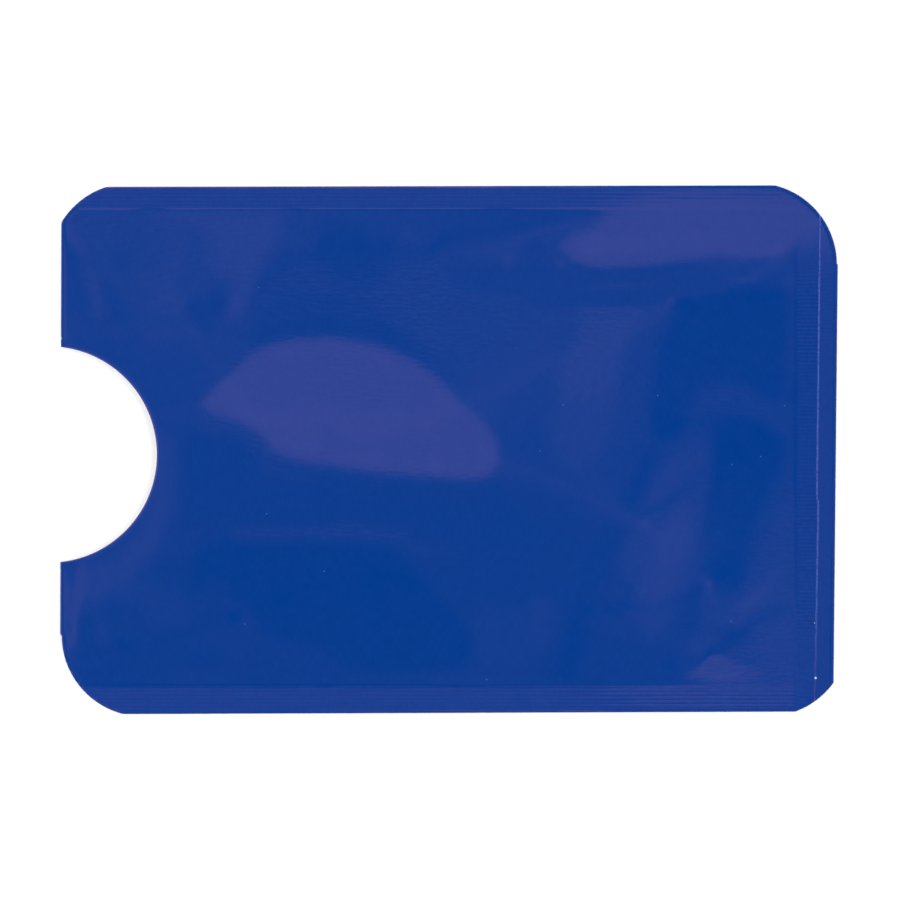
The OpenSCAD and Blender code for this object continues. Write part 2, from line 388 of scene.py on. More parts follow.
def relaxed_sheet():
    """Wave heights of the front panel over the pocket."""
    px = np.arange(POCKET_PX[0], POCKET_PX[1] + 0.1, GRID_PX)
    py = np.arange(POCKET_PX[2], POCKET_PX[3] + 0.1, GRID_PX)
    cx, dx, sy, dy = waves(px, py)
    across = np.linalg.lstsq(sy.T, pillow(px, py), rcond=None)[0]
    start = np.linalg.lstsq(cx.T, across.T, rcond=None)[0].T
    gx, gy = np.meshgrid(px, py)
    x, y = from_px(gx, gy)
    drawn = drawn_light(px, py)
    want = tone(drawn)
    counted = (outline_gap(x, y) < -RIM_LEFT_OUT) * 1.0
    weight = np.where(drawn > BRIGHT_FROM, BRIGHT_WEIGHT, 1.0)
    lean_x, lean_y = x / CAMERA_H, y / CAMERA_H
    bend = STIFF * (WAVE_X[None, :] ** 2 + WAVE_Y[:, None] ** 2) ** 2 + PULL
    scale = 1 / np.sqrt(bend)
    axis = np.linspace(-TABLE_HALF, TABLE_HALF, TABLE_N)
    c = start
    for spread, steps in STAGES:
        light = tone(sky(*np.meshgrid(axis, axis), spread))
        by_v, by_u = np.gradient(light, axis[1] - axis[0])

        def cost(z):
            now = z * scale
            rows = now @ cx
            h = sy.T @ rows
            seen, seen_u, seen_v = look_up(
                (light, by_u, by_v),
                -2 * (sy.T @ (now @ dx)) + lean_x,
                -2 * (dy.T @ rows) + lean_y,
            )
            miss = (seen - want) * counted
            rough = CALM * unevenness(miss)
            out = np.minimum(h - LOWEST, 0) + np.maximum(h - HIGHEST, 0)
            off = now - start
            f = (weight * miss**2 + miss * rough).sum()
            f += (bend * off**2).sum() + PUSH * (out**2).sum()
            miss = (weight * miss + rough) * counted
            g = -4 * (sy @ (miss * seen_u) @ dx.T + dy @ (miss * seen_v) @ cx.T)
            g += 2 * bend * off + 2 * PUSH * (sy @ out @ cx.T)
            return f, g * scale

        c = descend(cost, c / scale, steps) * scale
    return c


# Straight edges of the sheets: a point on each, and one further along with the sheet on its left
SLANTS = (
    ((MOUTH_X + MOUTH_LEAN, EDGE_Y - UPPER_LEAN), (MOUTH_X, -EDGE_Y)),
    ((CLOSED_X - CLOSED_LEAN, -EDGE_Y + LOWER_LEAN), (CLOSED_X, EDGE_Y)),
    ((CLOSED_X, EDGE_Y), (MOUTH_X + MOUTH_LEAN, EDGE_Y - UPPER_LEAN)),
)


def outline_gap(x, y):
    """How far a place lies outside the sheets' outline; inside it is negative."""
    gap = NOTCH_R - np.hypot(x - NOTCH_X, y - NOTCH_Y)
    for (xa, ya), (xb, yb) in SLANTS:
        length = np.hypot(xb - xa, yb - ya)
        gap = np.maximum(gap, ((x - xa) * (yb - ya) - (y - ya) * (xb - xa)) / length)
    low = -EDGE_Y + LOWER_LEAN * (x - MOUTH_X) / (SLEEVE_L - CLOSED_LEAN)
    gap = np.maximum(gap, low - y)
    for side_x in (-1, 1):
        for side_y in (-1, 1):
            mid_x = side_x * (SLEEVE_L / 2 - CORNER_IN_X) - side_y * CORNER_SHIFT
            mid_y = side_y * (EDGE_Y - CORNER_IN_Y)
            cut = np.hypot(x - mid_x, y - mid_y) - CORNER_R
            cut = np.minimum(cut, np.minimum((x - mid_x) * side_x, (y - mid_y) * side_y))
            gap = np.maximum(gap, cut)
    return gap


# Shape of the outer faces
sheet_waves = relaxed_sheet()
# The rims of the notch and the mouth curl down, each by a depth and over a width. The mouth's curl
# is strongest in its lower half, and less where the sheet already lies low.
NOTCH_CURL, NOTCH_CURL_W = 0.03, 0.5
MOUTH_CURL, MOUTH_CURL_W = 0.08, 2.2
UPPER_MOUTH = 0.3
LOW_MOUTH_Y, LOW_MOUTH_FADE = -8, 8
LOW_SHEET = 0.4
# The cut edges are rolled over
EDGE_ROLL, EDGE_ROLL_W = 0.042, 0.55
# Depth of the seal ribs at the left of the side seals, at their right, and in the end seal below
# and above, and where one passes into the next
RIB_LEFT, RIB_RIGHT, RIB_END, RIB_END_TOP = 0.013, 0.0028, 0.0013, 0.0055
RIGHT_X, RIGHT_RUN = 8, 20
END_TOP_Y, END_TOP_RUN = 8, 10
END_RAMP = 0.3
END_SIDE_Y, END_SIDE_RUN = 24, 6
# The ribs vary in depth and wander: size, length along X and turn per millimetre along Y
RIB_VARY = (0.3, 2.3, 9)
RIB_WANDER = ((0.012, 3.1, 2), (0.009, 1.3, 5))
# At the right the ribs leave the pocket's rim smooth and are narrower than their pitch
SMOOTH_RIM, SMOOTH_RIM_RUN = 1.4, 1.2
NARROWER = 4
# The crease in the end seal, and how the seal falls away before it and past it
CREASE_DEEP, CREASE_W = 0.022, 0.12
END_TILT, END_TILT_OUT, END_STEP = 0.025, 0.012, 0.01
STEP_HALF, STEP_W = 0.05, 0.1
FOLD_TOP_Y, FOLD_RUN = 27, 9
# The paper gives way under the film by this share of the film's own relief
PAPER_GIVES = 0.9
# How many places are worked out at a time
CHUNK = 20000


def puff(x, y):
    """Height of the front panel over the flat pocket, by its relaxed waves."""
    px = np.clip(x / PX + MID_PX, POCKET_PX[0], POCKET_PX[1])
    py = np.clip(MID_PY - y / PX, POCKET_PX[2], POCKET_PX[3])
    height = np.empty(px.shape)
    for i in range(0, len(px), CHUNK):
        cx, _, sy, _ = waves(px[i:i + CHUNK], py[i:i + CHUNK])
        height[i:i + CHUNK] = np.einsum("jn,jn->n", sy, sheet_waves @ cx)
    rim = np.hypot(x - NOTCH_X, y - NOTCH_Y) - NOTCH_R
    height -= NOTCH_CURL * np.clip(1 - rim / NOTCH_CURL_W, 0, 1) ** 2
    share = UPPER_MOUTH + (1 - UPPER_MOUTH) * smooth((LOW_MOUTH_Y - y) / LOW_MOUTH_FADE)
    share = share * smooth(height / LOW_SHEET)
    height -= MOUTH_CURL * share * np.clip(1 - (x - MOUTH_X) / MOUTH_CURL_W, 0, 1) ** 2
    return np.maximum(height, 0.0)


# Places along the crease in the end seal, from below to above, and the row of its bend
CREASE = ((815.0, 700.0), (818.3, 505.0), (817.0, 495.0), (820.5, 190.0))
CREASE_BEND_PY = 500.0
# Chips in the print along the crease, with their radius in millimetres
NICKS = ((815.6, 678.0, 0.19), (814.6, 623.0, 0.10))


def crease_x(y):
    """Where the crease in the end seal runs."""
    return np.interp(y, *zip(*[from_px(*place)[::-1] for place in CREASE]))


def pressed(x, y):
    """Depth of the ribs that the seal jaws press into an outer face, none at the pocket's rim."""
    above = np.abs(y - POCKET_MID_Y) - POCKET_W / 2
    right = smooth((x - RIGHT_X) / RIGHT_RUN)
    past_pocket = smooth((x - POCKET_END_X) / END_RAMP)
    end = past_pocket * smooth((END_SIDE_Y - np.abs(y)) / END_SIDE_RUN)
    end_depth = RIB_END + (RIB_END_TOP - RIB_END) * smooth((y - END_TOP_Y) / END_TOP_RUN)
    depth = RIB_LEFT + (RIB_RIGHT - RIB_LEFT) * right
    depth += (end_depth - depth) * end
    size, length, turn = RIB_VARY
    depth *= 1 + size * np.sin(x / length + turn * y)
    depth *= 1 - right * (1 - end) * smooth((SMOOTH_RIM - above) / SMOOTH_RIM_RUN)
    wave = above
    for size, length, turn in RIB_WANDER:
        wave = wave + size * np.sin(x / length + turn * y)
    narrow = 1 + NARROWER * np.maximum(right, end)
    groove = (0.5 - 0.5 * np.cos(2 * np.pi * wave / RIB_PITCH)) ** narrow
    return np.where(above > 0, 1.0, past_pocket) * depth * groove


def end_fold(x, y):
    """The end seal falls away a little on both sides of its crease."""
    past = x - crease_x(y)
    inner = END_TILT * np.clip(x - POCKET_END_X, 0, crease_x(y) - POCKET_END_X)
    outer = (END_TILT_OUT * past - END_STEP) * smooth((past + STEP_HALF) / STEP_W)
    fold = inner + np.where(past > -STEP_HALF, outer, 0)
    groove = CREASE_DEEP * np.clip(1 - np.abs(past) / CREASE_W, 0, 1)
    return smooth((FOLD_TOP_Y - y) / FOLD_RUN) * fold + groove


def edge_roll(x, y):
    """How far the rolled edge has turned down."""
    rim = -outline_gap(x, y)
    return EDGE_ROLL * np.clip(1 - rim / EDGE_ROLL_W, 0, 1) ** 3


def pressed_in(x, y):
    """All that the outer face of the front panel is lowered by; the paper under it gives way."""
    return pressed(x, y) + edge_roll(x, y) + end_fold(x, y)


def front_face(x, y):
    """Outer face of the front film."""
    return 2 * PANEL_T + puff(x, y) - pressed_in(x, y)


def front_core(x, y):
    """Where the front film ends and its paper starts."""
    return PAPER_TOP + puff(x, y) - PAPER_GIVES * pressed_in(x, y)


def puffed(level):
    """A surface inside the front panel, at this height where the pocket is flat."""
    return lambda x, y: level + puff(x, y)


def back_core(x, y):
    """Where the back film ends and its paper starts."""
    return np.full(np.shape(x), FILM_T)


# Steps towards the exact crossing of an edge with the outline, and how far from its ring a point
# of the outermost notch row may lie
ROOT_STEPS = 3
RING_MISS = 1e-3
# How fast the turn that a notch row needs at the mouth fades along the row
RING_BLEND = 8


def cut_grid(xs, ys, blocks, gap, weld=None):
    """Cuts a grid of lines xs and ys along gap = 0. blocks are pairs of line numbers along X and Y
    that get four-sided faces. weld is a column of cells whose right side meets every fine row: its
    left and right line and its coarse rows. Returns points and faces."""
    count = len(ys)
    quads, tris = [], []
    for cols, rows in blocks:
        i0, j0 = np.meshgrid(cols[:-1], rows[:-1], indexing="ij")
        i1, j1 = np.meshgrid(cols[1:], rows[1:], indexing="ij")
        ring = [i0 * count + j0, i1 * count + j0, i1 * count + j1, i0 * count + j1]
        quads.append(np.stack(ring, -1).reshape(-1, 4))
    if weld:
        left, right, rows = weld
        for low, high in zip(rows[:-1], rows[1:]):
            middle = (low + high) // 2
            for j in range(low, high):
                base = low if j < middle else high
                tris.append((left * count + base, right * count + j, right * count + j + 1))
            tris.append((left * count + low, right * count + middle, left * count + high))
    x_all = np.repeat(xs, count)
    y_all = np.tile(ys, len(xs))
    value = gap(x_all, y_all)
    faces, mixed = [], []
    for group in (np.concatenate(quads), np.array(tris, int).reshape(-1, 3)):
        within = (value[group] <= 0).sum(1)
        faces += group[within == group.shape[1]].tolist()
        mixed += group[(within > 0) & (within < group.shape[1])].tolist()
    new_x, new_y, made = [], [], {}

    def crossing(a, b):
        key = (a, b) if a < b else (b, a)
        if key not in made:
            share = value[a] / (value[a] - value[b])
            for _ in range(ROOT_STEPS):
                at_x = x_all[a] + share * (x_all[b] - x_all[a])
                at_y = y_all[a] + share * (y_all[b] - y_all[a])
                here = float(gap(np.array([at_x]), np.array([at_y]))[0])
                share -= here / (value[b] - value[a])
                share = min(max(share, 0.0), 1.0)
            made[key] = len(x_all) + len(new_x)
            new_x.append(x_all[a] + share * (x_all[b] - x_all[a]))
            new_y.append(y_all[a] + share * (y_all[b] - y_all[a]))
        return made[key]

    for face in mixed:
        loop = []
        for a, b in zip(face, face[1:] + face[:1]):
            if value[a] <= 0:
                loop.append(a)
            if (value[a] <= 0) != (value[b] <= 0):
                loop.append(crossing(a, b))
        if len(loop) > 2:
            faces.append(loop)
    x_all = np.concatenate([x_all, new_x])
    y_all = np.concatenate([y_all, new_y])
    used = np.unique(np.concatenate([np.array(f) for f in faces]))
    number = np.full(len(x_all), -1)
    number[used] = np.arange(len(used))
    faces = [[int(number[i]) for i in f] for f in faces]
    return x_all[used], y_all[used], faces


def rim_edges(faces):
    """Edges that only one face has, in that face's direction."""
    pairs = set()
    for f in faces:
        for a, b in zip(f, f[1:] + f[:1]):
            pairs.add((a, b))
    return [(a, b) for a, b in pairs if (b, a) not in pairs]


def notch_strip(x, y, faces, rings):
    """Adds rows of faces that run along the notch, from the outermost ring to the rim."""
    on_ring = abs(np.hypot(x - NOTCH_X, y - NOTCH_Y) - rings[0]) < RING_MISS
    edges = [(a, b) for a, b in rim_edges(faces) if on_ring[a] and on_ring[b]]
    after = dict(edges)
    first = (set(after) - set(after.values())).pop()
    chain = [first]
    while chain[-1] in after:
        chain.append(after[chain[-1]])
    angle = np.arctan2(y[chain] - NOTCH_Y, x[chain] - NOTCH_X)
    rows = [chain]
    new_x, new_y = [], []
    for ring in rings[1:]:
        at = angle.copy()
        for end in (0, -1):
            mouth = MOUTH_X + MOUTH_LEAN * (y[chain[end]] + EDGE_Y) / SLEEVE_W
            turn = np.arccos((mouth - NOTCH_X) / ring) / abs(angle[end])
            half = angle > 0 if angle[end] > 0 else angle <= 0
            turned = angle * (1 + (turn - 1) * (angle / angle[end]) ** RING_BLEND)
            at = np.where(half, turned, at)
        start = len(x) + len(new_x)
        rows.append(list(range(start, start + len(chain))))
        new_x += (NOTCH_X + ring * np.cos(at)).tolist()
        new_y += (NOTCH_Y + ring * np.sin(at)).tolist()
    for a, b in zip(rows[:-1], rows[1:]):
        for i in range(len(chain) - 1):
            faces.append([a[i + 1], a[i], b[i], b[i + 1]])
    return np.concatenate([x, new_x]), np.concatenate([y, new_y]), faces


# Half the span over which a surface's slope is taken
NUDGE = 0.01


def ply(name, points, low, high, slot, node):
    """A closed thin piece between two surfaces, with normals taken from the surfaces."""
    x, y, faces = points
    count = len(x)
    sides, normals = [], []
    for surface, sign in ((high, 1), (low, -1)):
        z = surface(x, y)
        slope_x = (surface(x + NUDGE, y) - surface(x - NUDGE, y)) / (2 * NUDGE)
        slope_y = (surface(x, y + NUDGE) - surface(x, y - NUDGE)) / (2 * NUDGE)
        n = np.stack([-slope_x, -slope_y, np.ones(count)], 1) * sign
        sides.append(np.stack([x, y, z], 1))
        normals.append(n / np.linalg.norm(n, axis=1)[:, None])
    places = np.concatenate(sides) * MM
    walls = [[b, a, a + count, b + count] for a, b in rim_edges(faces)]
    every = faces + [[i + count for i in reversed(f)] for f in faces] + walls
    mesh = bpy.data.meshes.new(name)
    mesh.from_pydata(places.tolist(), [], every)
    mesh.polygons.foreach_set("use_smooth", np.ones(len(every), bool))
    around = np.concatenate(normals)
    corners = np.empty(len(mesh.loops), int)
    mesh.loops.foreach_get("vertex_index", corners)
    loop_normals = around[corners]
    wall_start = sum(len(f) for f in faces) * 2
    wall_points = places[corners[wall_start:]].reshape(-1, 4, 3)
    side = np.cross(wall_points[:, 1] - wall_points[:, 0], wall_points[:, 3] - wall_points[:, 0])
    length = np.linalg.norm(side, axis=1)[:, None]
    side = side / np.where(length > 0, length, 1)
    loop_normals[wall_start:] = np.repeat(side, 4, axis=0)
    mesh.normals_split_custom_set(loop_normals.tolist())
    obj = bpy.data.objects.new(name, mesh)
    bpy.context.scene.collection.objects.link(obj)
    mesh.materials.append(MATERIALS[slot])
    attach(obj, "root")
    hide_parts(node)


# Looks of the gloss film. Texture scales are per metre.
PRINT_DARK, PRINT_LIGHT = (0.0009, 0.0335, 0.2055, 1), (0.0011, 0.0352, 0.2125, 1)
CLOUD_SCALE = (900, 900, 900)
CLOUD_FROM, CLOUD_TO = 0.35, 0.65
# Dashes painted lighter and darker into the print: painted sheen, streaks of reflection on the film
SHEEN_DASH_SCALE = (5000, 1100, 1)
SHEEN_DASH_FROM, SHEEN_DASH_TO = 0.3, 0.7
SHEEN_DASH_DARKEST, SHEEN_DASH_LIGHTEST = 0.94, 1.06
WORN_COLOR = (0.036, 0.086, 0.37, 1)
DUST_COLOR = (0.06, 0.13, 0.4, 1)
CHIP_COLOR = (0.5, 0.58, 0.85, 1)
# The worn line along the crease: half its width and its core in metres, how broken it is, and
# between which pixel rows it fades out
WORN_HALF, WORN_CORE = 0.00014, 0.00002
FLAKE_SCALE = 3200.0
FLAKE_FROM, FLAKE_TO = 0.22, 0.62
WORN_END_PY, WORN_FULL_PY = 700.0, 560.0
# A chip is solid over this share of its radius
CHIP_CORE = 0.4
# Specks of dust: cells per metre, a speck's edge and core in cells, the share of cells without one
DUST_SCALE = 150
DUST_EDGE, DUST_CORE = 0.013, 0.006
DUST_SHARE_LEFT_OUT = 0.77
# The seals are duller than the film over the pocket, most of all at the left. In metres: where the
# side seals begin off the pocket's middle line, where the end seal does along X, and where the
# dullness lessens.
FILM_ROUGH = 0.06
SEAL_DULL, SEAL_DULL_LESS = 0.13, 0.12
SIDE_FROM, SIDE_TO = 0.0278, 0.0284
END_FROM, END_TO = 0.0404, 0.0408
DULL_FROM, DULL_TO = 0.008, 0.028
FILM_IOR = 1.53
FILM_TINT = (0.92, 0.45, 0.73, 1)
WRINKLE_SCALE = (800, 2600, 1)
WRINKLE_DEEP = 0.0000025
# Looks of the other plies
GRAIN_FROM, GRAIN_TO = 0.3, 0.7
GRAIN_DEEP, GRAIN_STRENGTH = 0.00001, 0.4
# Sockets of a colour mix
MIX_A, MIX_B = 6, 7


def new_material(name):
    """A material with its node tree and its shader."""
    mat = bpy.data.materials.new(name)
    mat.use_nodes = True
    tree = mat.node_tree
    return mat, tree, tree.nodes["Principled BSDF"]


def put(tree, socket, value):
    """Sets a socket to a value or links another node's output to it."""
    if isinstance(value, bpy.types.NodeSocket):
        tree.links.new(value, socket)
    else:
        socket.default_value = value


def math_node(tree, operation, *values):
    """One step of arithmetic."""
    made = tree.nodes.new("ShaderNodeMath")
    made.operation = operation
    for socket, value in zip(made.inputs, values):
        put(tree, socket, value)
    return made.outputs[0]


def blend_light(tree, light, level, mask):
    """Passes from light to level as mask rises from 0 to 1. All may be numbers or outputs."""
    mix = tree.nodes.new("ShaderNodeMix")
    mix.data_type = "FLOAT"
    for socket, value in zip((mix.inputs[0], mix.inputs[2], mix.inputs[3]), (mask, light, level)):
        put(tree, socket, value)
    return mix.outputs[0]


def paint_over(tree, under, color, mask):
    """A colour laid over another where mask is 1."""
    mix = tree.nodes.new("ShaderNodeMix")
    mix.data_type = "RGBA"
    put(tree, mix.inputs[0], mask)
    put(tree, mix.inputs[MIX_A], under)
    put(tree, mix.inputs[MIX_B], color)
    return mix.outputs[2]


def soft_step(tree, value, start, end):
    """Rises softly from 0 at start to 1 at end."""
    step = tree.nodes.new("ShaderNodeMapRange")
    step.interpolation_type = "SMOOTHSTEP"
    put(tree, step.inputs["Value"], value)
    put(tree, step.inputs["From Min"], start)
    put(tree, step.inputs["From Max"], end)
    return step.outputs[0]


def scaled(tree, place, scale):
    """A place stretched along each axis."""
    made = tree.nodes.new("ShaderNodeMapping")
    made.inputs["Scale"].default_value = scale
    tree.links.new(place, made.inputs["Vector"])
    return made.outputs[0]


def noise(tree, place, scale, detail):
    """Cloudy noise from 0 to 1."""
    made = tree.nodes.new("ShaderNodeTexNoise")
    made.inputs["Scale"].default_value = scale
    made.inputs["Detail"].default_value = detail
    tree.links.new(place, made.inputs["Vector"])
    return made.outputs["Fac"]


def two_tone(tree, value, start, end, dark, light):
    """A colour that passes from dark at start to light at end."""
    ramp = tree.nodes.new("ShaderNodeValToRGB")
    for stop, position, color in zip(ramp.color_ramp.elements, (start, end), (dark, light)):
        stop.position = position
        stop.color = color
    tree.links.new(value, ramp.inputs["Fac"])
    return ramp.outputs["Color"]


def relief(tree, shader, height, distance, strength):
    """Bumps in a shader's surface."""
    bump = tree.nodes.new("ShaderNodeBump")
    bump.inputs["Strength"].default_value = strength
    bump.inputs["Distance"].default_value = distance
    tree.links.new(height, bump.inputs["Height"])
    tree.links.new(bump.outputs["Normal"], shader.inputs["Normal"])


def print_and_painted_sheen_color(tree, place):
    """The blue print, slightly cloudy, with fine lighter and darker dashes of painted sheen over
    it.
    """
    cloud = noise(tree, scaled(tree, place, CLOUD_SCALE), 1.0, 3.0)
    blue = two_tone(tree, cloud, CLOUD_FROM, CLOUD_TO, PRINT_DARK, PRINT_LIGHT)
    # Painted sheen: fine dashes that make the print a little lighter or darker
    shade = tree.nodes.new("ShaderNodeMapRange")
    put(tree, shade.inputs["Value"], noise(tree, scaled(tree, place, SHEEN_DASH_SCALE), 1.0, 2.0))
    put(tree, shade.inputs["From Min"], SHEEN_DASH_FROM)
    put(tree, shade.inputs["From Max"], SHEEN_DASH_TO)
    put(tree, shade.inputs["To Min"], SHEEN_DASH_DARKEST)
    put(tree, shade.inputs["To Max"], SHEEN_DASH_LIGHTEST)
    shaded = tree.nodes.new("ShaderNodeVectorMath")
    shaded.operation = "SCALE"
    put(tree, shaded.inputs[0], blue)
    put(tree, shaded.inputs["Scale"], shade.outputs[0])
    return shaded.outputs[0]


def worn_line(tree, place, x, y):
    """Where the print is worn off along the crease."""
    lines = []
    for start, end in (CREASE[:2], CREASE[2:]):
        (xa, ya), (xb, yb) = from_px(*start), from_px(*end)
        slope = float((xb - xa) / (yb - ya))
        along = math_node(tree, "MULTIPLY_ADD", y, slope, float(xa - slope * ya) * MM)
        away = math_node(tree, "ABSOLUTE", math_node(tree, "SUBTRACT", x, along))
        lines.append(soft_step(tree, away, WORN_HALF, WORN_CORE))
    rows = [from_px(0, row)[1] * MM for row in (CREASE_BEND_PY + 1, CREASE_BEND_PY - 1)]
    line = blend_light(tree, *lines, soft_step(tree, y, *rows))
    flakes = soft_step(tree, noise(tree, place, FLAKE_SCALE, 2.0), FLAKE_FROM, FLAKE_TO)
    worn = math_node(tree, "MULTIPLY", line, flakes)
    rows = [from_px(0, row)[1] * MM for row in (WORN_END_PY, WORN_FULL_PY)]
    return math_node(tree, "MULTIPLY", worn, soft_step(tree, y, *rows))


def dust(tree, place):
    """A few specks of dust."""
    specks = tree.nodes.new("ShaderNodeTexVoronoi")
    specks.voronoi_dimensions = "2D"
    specks.inputs["Scale"].default_value = DUST_SCALE
    tree.links.new(place, specks.inputs["Vector"])
    grains = soft_step(tree, specks.outputs["Distance"], DUST_EDGE, DUST_CORE)
    few = math_node(tree, "GREATER_THAN", specks.outputs["Color"], DUST_SHARE_LEFT_OUT)
    return math_node(tree, "MULTIPLY", grains, few)


def chips(tree, place):
    """The chips in the print along the crease."""
    found = []
    for px, py, size in NICKS:
        x, y = from_px(px, py)
        spot = tree.nodes.new("ShaderNodeVectorMath")
        spot.operation = "DISTANCE"
        spot.inputs[1].default_value = (float(x) * MM, float(y) * MM, 2 * PANEL_T * MM)
        tree.links.new(place, spot.inputs[0])
        found.append(soft_step(tree, spot.outputs["Value"], size * MM, CHIP_CORE * size * MM))
    return math_node(tree, "MAXIMUM", *found)


def film_roughness(tree, x, y):
    """Roughness of the film: smooth over the pocket, duller on the seals."""
    off_middle = math_node(tree, "ABSOLUTE", math_node(tree, "SUBTRACT", y, POCKET_MID_Y * MM))
    side = soft_step(tree, off_middle, SIDE_FROM, SIDE_TO)
    sealed = math_node(tree, "MAXIMUM", side, soft_step(tree, x, END_FROM, END_TO))
    right = soft_step(tree, x, DULL_FROM, DULL_TO)
    less = math_node(tree, "MULTIPLY", right, SEAL_DULL_LESS)
    dull = math_node(tree, "SUBTRACT", SEAL_DULL, less)
    return math_node(tree, "ADD", math_node(tree, "MULTIPLY", sealed, dull), FILM_ROUGH)


def gloss_film_material():
    """Glossy blue film with its print, painted sheen dashes, wear, dust and fine wrinkles."""
    mat, tree, shader = new_material("gloss_film")
    place = tree.nodes.new("ShaderNodeTexCoord").outputs["Object"]
    axes = tree.nodes.new("ShaderNodeSeparateXYZ")
    tree.links.new(place, axes.inputs[0])
    x, y = axes.outputs[0], axes.outputs[1]
    # The print's colour, with painted sheen as fine lighter and darker dashes
    color = print_and_painted_sheen_color(tree, place)
    color = paint_over(tree, color, WORN_COLOR, worn_line(tree, place, x, y))
    color = paint_over(tree, color, DUST_COLOR, dust(tree, place))
    color = paint_over(tree, color, CHIP_COLOR, chips(tree, place))
    tree.links.new(color, shader.inputs["Base Color"])
    tree.links.new(film_roughness(tree, x, y), shader.inputs["Roughness"])
    shader.inputs["IOR"].default_value = FILM_IOR
    shader.inputs["Specular Tint"].default_value = FILM_TINT
    wrinkles = noise(tree, scaled(tree, place, WRINKLE_SCALE), 1.0, 2.0)
    relief(tree, shader, wrinkles, WRINKLE_DEEP, 1.0)
    return mat


def plain_material(name, color, rough, metal, scale, darker):
    """A plain sheet with fine grain. darker is how much darker the grain's dark side is."""
    mat, tree, shader = new_material(name)
    grain = noise(tree, tree.nodes.new("ShaderNodeTexCoord").outputs["Object"], scale, 4.0)
    dark = tuple(c * (1 - darker) for c in color)
    tones = two_tone(tree, grain, GRAIN_FROM, GRAIN_TO, (*dark, 1), (*color, 1))
    tree.links.new(tones, shader.inputs["Base Color"])
    relief(tree, shader, grain, GRAIN_DEEP, GRAIN_STRENGTH)
    shader.inputs["Roughness"].default_value = rough
    shader.inputs["Metallic"].default_value = metal
    return mat


MATERIALS = {
    "gloss_film": gloss_film_material(),
    "paper_core": plain_material("paper_core", (0.84, 0.84, 0.8), 0.85, 0.0, 9000, 0.12),
    "foil_shield": plain_material("foil_shield", (0.77, 0.78, 0.8), 0.22, 1.0, 1200, 0.05),
    "seal_film": plain_material("seal_film", (0.72, 0.74, 0.77), 0.3, 0.6, 700, 0.06),
    "fused_film": plain_material("fused_film", (0.68, 0.7, 0.74), 0.4, 0.1, 1500, 0.08),
}

# Grid of the films. Over the pocket it has one row where the seals have ROWS_PER_CELL fine ones,
# and it reaches past the outline by MARGIN.
ROWS_PER_CELL = 7
POCKET_ROWS = 142
MARGIN = 0.1
# Where each stretch of columns starts and how many columns it has
STRETCHES = (
    (MOUTH_X - MARGIN, 7),
    (MOUTH_X + 0.5, 214),
    (POCKET_END_X, 6),
    (POCKET_END_X + 1.9, 28),
    (POCKET_END_X + 3.3, 3),
    (CLOSED_X - 0.85, 12),
)
# Rings of the rows of faces along the notch, the last on its rim
RINGS = tuple(NOTCH_R + d for d in (1.1, 0.85, 0.65, 0.5, 0.37, 0.26, 0.17, 0.09, 0.04, 0.0))
# Columns and rows of the inner plies
COARSE_X, COARSE_Y = 130, 90


def wide_gap(x, y):
    """The outline with a wider notch, which the strip along the rim then fills."""
    return np.maximum(outline_gap(x, y), RINGS[0] - np.hypot(x - NOTCH_X, y - NOTCH_Y))


def pocket_gap(x, y):
    """How far a place lies outside the pocket."""
    gap = np.maximum(outline_gap(x, y), x - POCKET_END_X)
    return np.maximum(gap, np.maximum(y - POCKET_TOP_Y, POCKET_LOW_Y - y))


def film_points():
    """Points and faces of the films, fine on the seals and along the notch."""
    fine = POCKET_W / (ROWS_PER_CELL * POCKET_ROWS)
    below = int(np.ceil((POCKET_LOW_Y + EDGE_Y + MARGIN) / fine))
    above = int(np.ceil((EDGE_Y - POCKET_TOP_Y + MARGIN) / fine))
    line_y = POCKET_LOW_Y + fine * np.arange(-below, ROWS_PER_CELL * POCKET_ROWS + above + 1)
    ends = [start for start, _ in STRETCHES[1:]] + [CLOSED_X + MARGIN]
    line_x = [np.linspace(start, end, number + 1)[:-1]
              for (start, number), end in zip(STRETCHES, ends)]
    line_x = np.concatenate([*line_x, ends[-1:]])
    end_col = int(np.argmin(np.abs(line_x - POCKET_END_X)))
    pocket_rows = below + ROWS_PER_CELL * np.arange(POCKET_ROWS + 1)
    rows, cols = np.arange(len(line_y)), np.arange(len(line_x))
    blocks = [
        (cols[:end_col + 1], rows[:below + 1]),
        (cols[:end_col], pocket_rows),
        (cols[:end_col + 1], rows[below + ROWS_PER_CELL * POCKET_ROWS:]),
        (cols[end_col:], rows),
    ]
    weld = (end_col - 1, end_col, pocket_rows)
    return notch_strip(*cut_grid(line_x, line_y, blocks, wide_gap, weld), RINGS)


def inner_points(gap):
    """Points and faces of an inner ply, cut along gap = 0."""
    line_x = np.linspace(MOUTH_X - MARGIN, CLOSED_X + MARGIN, COARSE_X + 1)
    line_y = np.linspace(-EDGE_Y - MARGIN, EDGE_Y + MARGIN, COARSE_Y + 1)
    blocks = [(np.arange(len(line_x)), np.arange(len(line_y)))]
    return cut_grid(line_x, line_y, blocks, gap)


film = film_points()
core = inner_points(outline_gap)
pocket = inner_points(pocket_gap)
PAPER_LOW = PAPER_TOP - PAPER_T
FOIL_LOW = PAPER_LOW - FOIL_T
SEAL_LOW = FOIL_LOW - SEAL_FILM_T
ply("front_film", film, front_core, front_face, "gloss_film", "front_gloss_film")
ply("front_paper", core, puffed(PAPER_LOW), front_core, "paper_core", "front_paper_core")
ply("front_foil", core, puffed(FOIL_LOW), puffed(PAPER_LOW), "foil_shield", "front_foil_shield")
ply("front_lining", pocket, puffed(SEAL_LOW), puffed(FOIL_LOW), "seal_film", "front_seal_film")
ply("back_film", film, pressed, back_core, "gloss_film", "back_gloss_film")

